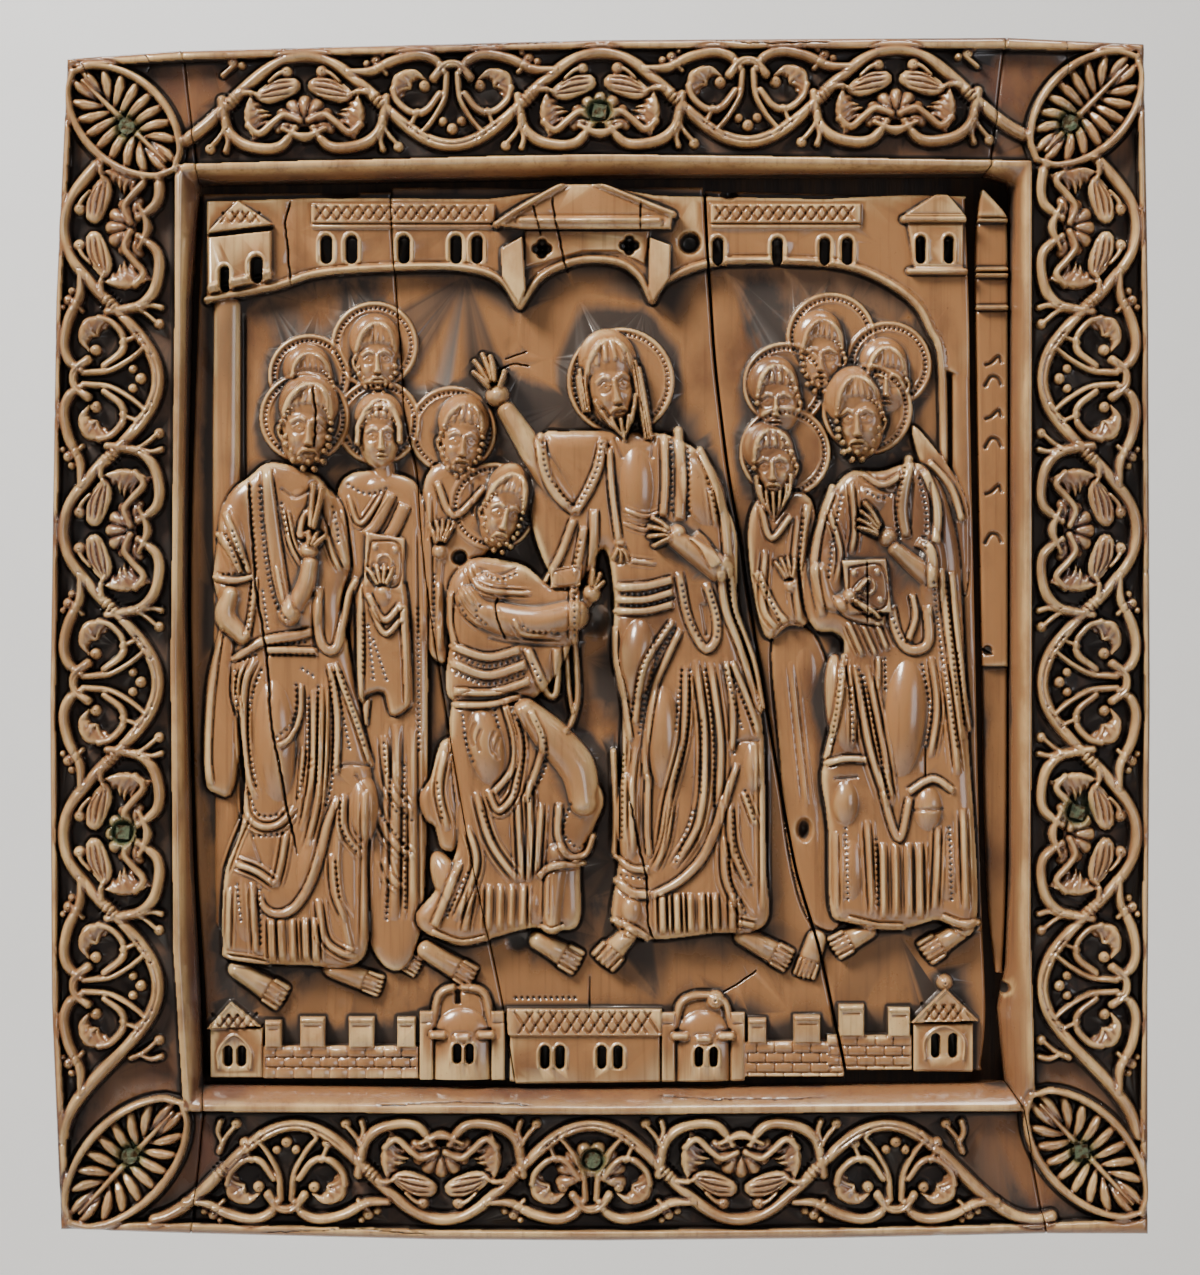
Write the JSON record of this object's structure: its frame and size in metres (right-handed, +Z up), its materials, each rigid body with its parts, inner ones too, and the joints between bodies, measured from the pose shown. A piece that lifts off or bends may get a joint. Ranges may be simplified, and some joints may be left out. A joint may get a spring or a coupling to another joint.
{
  "type": "relief plaque",
  "caption": "Rectangular wall plaque of ivory strips: haloed figures in deep relief under architecture, foliate-scroll border, metal pins, dark backing board",
  "frame": {"origin": "on the back of the backing board, near its middle, where the plaque is held to a wall", "axes": "+X to the right seen from the front, +Y out of the back into the wall, +Z up; the carving faces -Y"},
  "size_m": [0.1952, 0.0187, 0.2134],
  "materials": {
    "border_ivory": "polished, warm brown stained walrus ivory with worn cream edges",
    "field_ivory": "polished, warm brown stained walrus ivory with dirt in the recesses",
    "pin_metal": "corroded copper alloy with green crust",
    "board_wood": "dark stained, matt"
  },
  "bodies": {
    "root": {"border_left": "border_ivory", "border_right": "border_ivory", "border_top": "border_ivory", "border_bottom": "border_ivory", "field_strip_1": "field_ivory", "field_strip_2": "field_ivory", "field_strip_3": "field_ivory", "field_strip_4": "field_ivory", "pin_top_left": "pin_metal", "pin_top_middle": "pin_metal", "pin_top_right": "pin_metal", "pin_side_left": "pin_metal", "pin_side_right": "pin_metal", "pin_bottom_left": "pin_metal", "pin_bottom_middle": "pin_metal", "pin_bottom_right": "pin_metal", "backing_board": "board_wood"}
  },
  "joints": []
}
